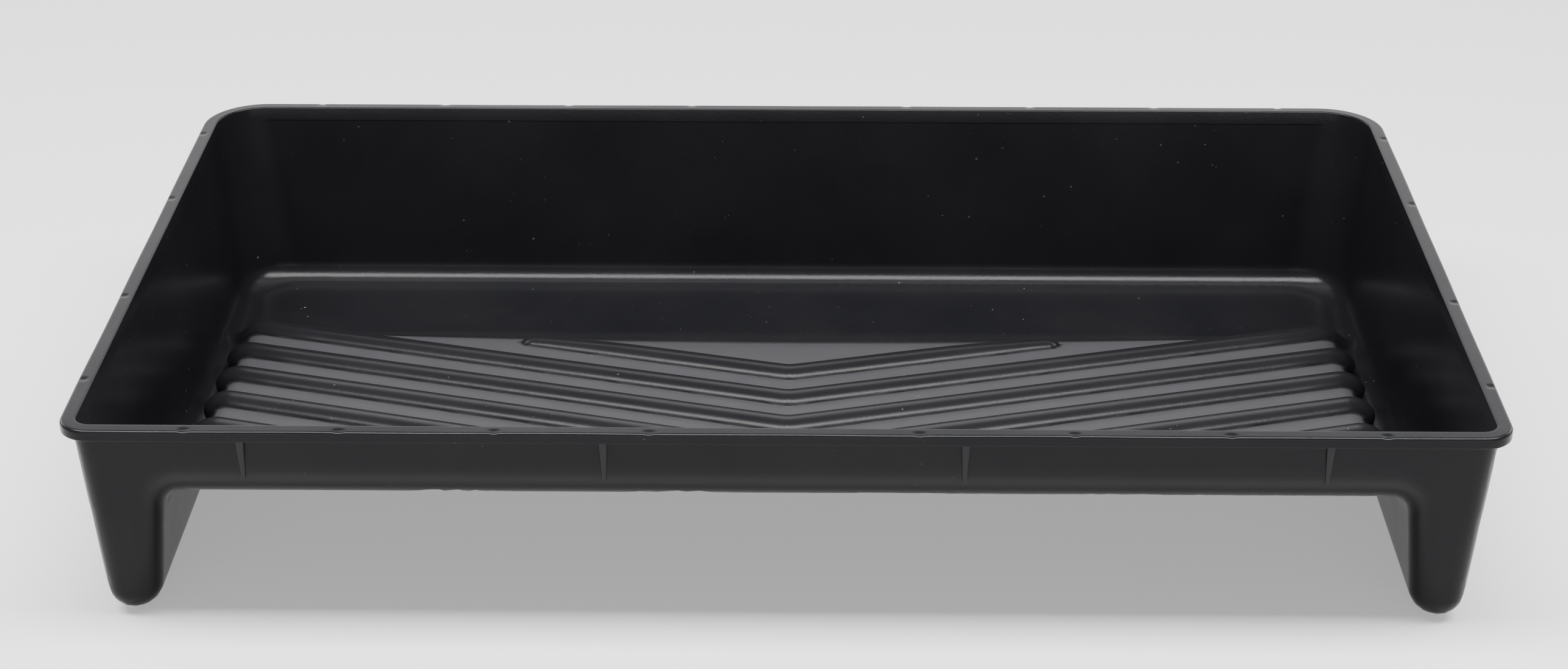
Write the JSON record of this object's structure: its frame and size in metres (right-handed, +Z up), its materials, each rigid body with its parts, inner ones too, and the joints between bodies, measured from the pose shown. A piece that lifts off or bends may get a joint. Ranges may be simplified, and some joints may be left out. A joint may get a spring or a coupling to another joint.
{
  "type": "paint roller tray",
  "caption": "wide one-piece plastic paint roller tray with a deep well at the back, a sloping ribbed roll-off ramp, side troughs and two hollow feet under the shallow end",
  "frame": {"origin": "under the middle of the rim's outline, on the plane that the tray stands on", "axes": "+X along the tray's long side, +Y from the shallow end with the feet to the deep well, +Z up"},
  "size_m": [0.56, 0.352, 0.088],
  "materials": {
    "black_plastic": "satin black polypropylene, as moulded, with a little dust"
  },
  "bodies": {
    "root": {"back_floor_curve": "black_plastic", "back_left_corner": "black_plastic", "back_right_corner": "black_plastic", "back_wall": "black_plastic", "front_ramp_curve": "black_plastic", "front_wall": "black_plastic", "gusset_back_1": "black_plastic", "gusset_back_2": "black_plastic", "gusset_back_3": "black_plastic", "gusset_back_4": "black_plastic", "gusset_front_1": "black_plastic", "gusset_front_2": "black_plastic", "gusset_front_3": "black_plastic", "gusset_front_4": "black_plastic", "left_leg_front": "black_plastic", "left_side_curve": "black_plastic", "left_trough_inner_wall": "black_plastic", "left_wall": "black_plastic", "ramp": "black_plastic", "ramp_step": "black_plastic", "rib_1": "black_plastic", "rib_2": "black_plastic", "rib_3": "black_plastic", "rib_4": "black_plastic", "rib_5": "black_plastic", "rib_6_left": "black_plastic", "rib_6_right": "black_plastic", "rib_7_left": "black_plastic", "rib_7_right": "black_plastic", "right_leg_front": "black_plastic", "right_side_curve": "black_plastic", "right_trough_inner_wall": "black_plastic", "right_wall": "black_plastic", "rim_back": "black_plastic", "rim_corner_back_left": "black_plastic", "rim_corner_back_right": "black_plastic", "rim_corner_front_left": "black_plastic", "rim_corner_front_right": "black_plastic", "rim_front": "black_plastic", "rim_left": "black_plastic", "rim_right": "black_plastic", "well_floor": "black_plastic"}
  },
  "joints": []
}
